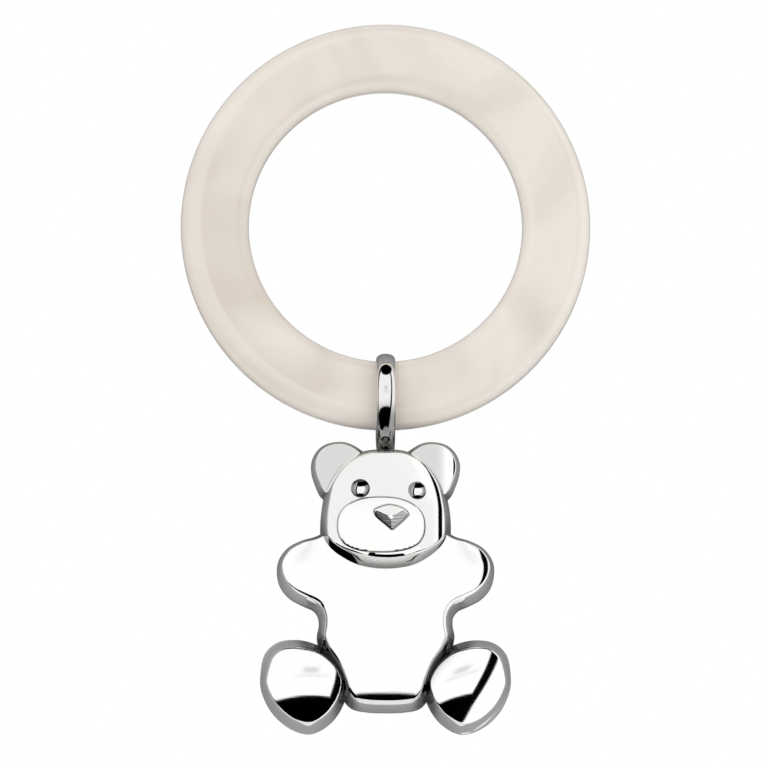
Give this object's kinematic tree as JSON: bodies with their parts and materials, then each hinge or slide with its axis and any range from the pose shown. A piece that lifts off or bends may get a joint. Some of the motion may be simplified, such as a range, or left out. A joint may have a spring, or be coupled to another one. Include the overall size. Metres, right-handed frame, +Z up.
{
  "type": "baby rattle",
  "caption": "Hollow polished metal teddy bear rattle hanging by a half-round wire loop from a smooth pearly teething ring.",
  "frame": {"origin": "on the inside wall of the ring at its top, where a finger or a hook carries the rattle", "axes": "+Z up along the hanging rattle, -Y the way the bear faces, ring in the XZ plane"},
  "size_m": [0.055, 0.013, 0.0959],
  "materials": {
    "pearl_ring": "smooth gloss cream plastic with a mother-of-pearl look",
    "silver": "polished silver with fine polishing marks",
    "pellet_steel": "bright plain steel balls"
  },
  "bodies": {
    "ring": {"teething_ring": "pearl_ring"},
    "bear": {"bail_loop": "silver", "bail_saddle": "silver", "front_shell": "silver", "back_shell": "silver"},
    "pellet_1": {"pellet_1": "pellet_steel"},
    "pellet_2": {"pellet_2": "pellet_steel"},
    "pellet_3": {"pellet_3": "pellet_steel"},
    "pellet_4": {"pellet_4": "pellet_steel"},
    "pellet_5": {"pellet_5": "pellet_steel"}
  },
  "joints": [
    {"name": "bear_swing", "type": "hinge", "parent": "ring", "child": "bear", "pos_m": [0, 0, -0.04127], "axis": [1, 0, 0], "range_deg": [-120, 120]},
    {"name": "pellet_1_roll", "type": "slide", "parent": "bear", "child": "pellet_1", "axis": [0, 0, 1], "range_m": [0, 0.028]},
    {"name": "pellet_2_roll", "type": "slide", "parent": "bear", "child": "pellet_2", "axis": [0, 0, 1], "range_m": [0, 0.026]},
    {"name": "pellet_3_roll", "type": "slide", "parent": "bear", "child": "pellet_3", "axis": [0, 0, 1], "range_m": [0, 0.026]},
    {"name": "pellet_4_roll", "type": "slide", "parent": "bear", "child": "pellet_4", "axis": [0, 0, 1], "range_m": [0, 0.009]},
    {"name": "pellet_5_roll", "type": "slide", "parent": "bear", "child": "pellet_5", "axis": [0, 0, 1], "range_m": [0, 0.009]}
  ]
}
